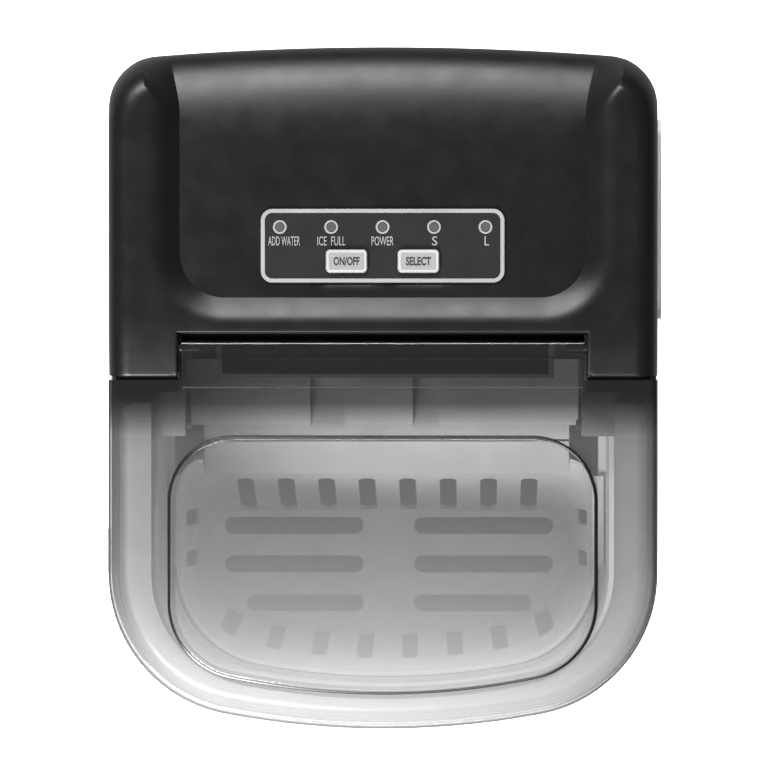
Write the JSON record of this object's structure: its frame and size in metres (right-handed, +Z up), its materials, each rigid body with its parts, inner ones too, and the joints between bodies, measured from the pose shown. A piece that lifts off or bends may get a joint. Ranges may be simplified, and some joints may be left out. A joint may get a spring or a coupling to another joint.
{
  "type": "countertop ice maker",
  "caption": "Countertop ice maker with a hinged tinted lid over a lift-out ice basket, a dished control console, a swinging water tray and a small compressor plant",
  "frame": {"origin": "on the surface the feet stand on, under the middle of the cabinet", "axes": "+Z up, -Y towards the front with the lid, +X to the right-hand side"},
  "size_m": [0.249, 0.301, 0.322],
  "materials": {
    "silver_housing": "satin silver-white moulding",
    "silver_steel": "satin silver paint",
    "black_cover": "fine matt texture",
    "smoke_lid": "tinted clear plastic",
    "liner_grey": "light grey moulding",
    "basket_grey": "translucent grey moulding",
    "film_black": "printed overlay",
    "button_grey": "pale grey keys",
    "lens_grey": "diffusing light pipes",
    "rubber_black": "moulded rubber",
    "rubber_grey": "moulded rubber",
    "steel": "bright steel",
    "nickel": "nickel plate",
    "copper": "drawn copper",
    "fin_aluminium": "thin rolled fins",
    "compressor_black": "black stove enamel",
    "board_green": "solder-masked board",
    "parts_dark": "moulded components",
    "tray_grey": "dark grey moulding",
    "shovel_grey": "grey moulding",
    "foam_white": "expanded foam",
    "float_white": "moulded float"
  },
  "bodies": {
    "cabinet": {"base_plate": "silver_steel", "feet": "rubber_black", "front_panel": "silver_steel", "rear_panel": "silver_steel", "left_side_panel": "silver_steel", "right_side_panel": "silver_steel", "side_vent_grille": "silver_housing", "top_frame": "silver_housing", "liner": "liner_grey", "top_cover": "black_cover", "cover_screws": "compressor_black", "control_film": "film_black", "display_board": "board_green", "lamp_lenses": "lens_grey", "tact_switches": "parts_dark", "tray_motor": "steel", "evaporator_tube": "nickel", "evaporator_fingers": "nickel", "water_pump": "parts_dark", "water_nozzle": "tray_grey", "ice_eyes": "parts_dark", "float_stem": "float_white", "drain_spout": "liner_grey", "compressor": "compressor_black", "compressor_mounts": "rubber_black", "terminal_cover": "parts_dark", "condenser_fins": "fin_aluminium", "condenser_tube": "copper", "fan_shroud": "parts_dark", "fan_motor": "steel", "suction_line": "copper", "filter_drier": "copper", "hot_gas_valve": "steel", "hot_gas_line": "copper", "capillary_line": "copper", "power_board": "board_green", "board_components": "parts_dark", "cord_gland": "rubber_black", "base_screws": "steel", "bay_insulation": "foam_white"},
    "lid": {"lid": "smoke_lid", "hinge_pins": "steel"},
    "on_off_button": {"on_off_button": "button_grey"},
    "select_button": {"select_button": "button_grey"},
    "ice_basket": {"ice_basket": "basket_grey"},
    "water_tray": {"water_tray": "tray_grey", "tray_shafts": "steel"},
    "ice_shovel": {"ice_shovel": "shovel_grey"},
    "water_float": {"water_float": "float_white"},
    "drain_plug": {"drain_plug": "rubber_grey"},
    "fan": {"fan_blade": "parts_dark", "fan_spindle": "steel"}
  },
  "joints": [
    {"name": "lid_hinge", "type": "hinge", "parent": "cabinet", "child": "lid", "pos_m": [0, 0.0174, 0.3125], "axis": [-1, 0, 0], "range_deg": [0, 95]},
    {"name": "on_off_press", "type": "slide", "parent": "cabinet", "child": "on_off_button", "axis": [0, 0, -1], "range_m": [0, 0.0006], "stiffness_N_per_m": 900, "springref_m": -0.0008},
    {"name": "select_press", "type": "slide", "parent": "cabinet", "child": "select_button", "axis": [0, 0, -1], "range_m": [0, 0.0006], "stiffness_N_per_m": 900, "springref_m": -0.0008},
    {"name": "basket_lift", "type": "slide", "parent": "cabinet", "child": "ice_basket", "axis": [0, 0, 1], "range_m": [0, 0.06]},
    {"name": "tray_tilt", "type": "hinge", "parent": "cabinet", "child": "water_tray", "pos_m": [0, 0.044, 0.268], "axis": [1, 0, 0], "range_deg": [0, 78]},
    {"name": "shovel_slide", "type": "slide", "parent": "cabinet", "child": "ice_shovel", "axis": [0, 1, 0], "range_m": [0, 0.074]},
    {"name": "float_rise", "type": "slide", "parent": "cabinet", "child": "water_float", "axis": [0, 0, 1], "range_m": [0, 0.02]},
    {"name": "drain_pull", "type": "slide", "parent": "cabinet", "child": "drain_plug", "axis": [-1, 0, 0], "range_m": [0, 0.014]},
    {"name": "fan_spin", "type": "hinge", "parent": "cabinet", "child": "fan", "pos_m": [0.074, 0.084, 0.092], "axis": [1, 0, 0], "continuous": true}
  ],
  "couplings": [
    {"joint": "shovel_slide", "follows": "tray_tilt", "m_per_rad": 0.0543}
  ]
}
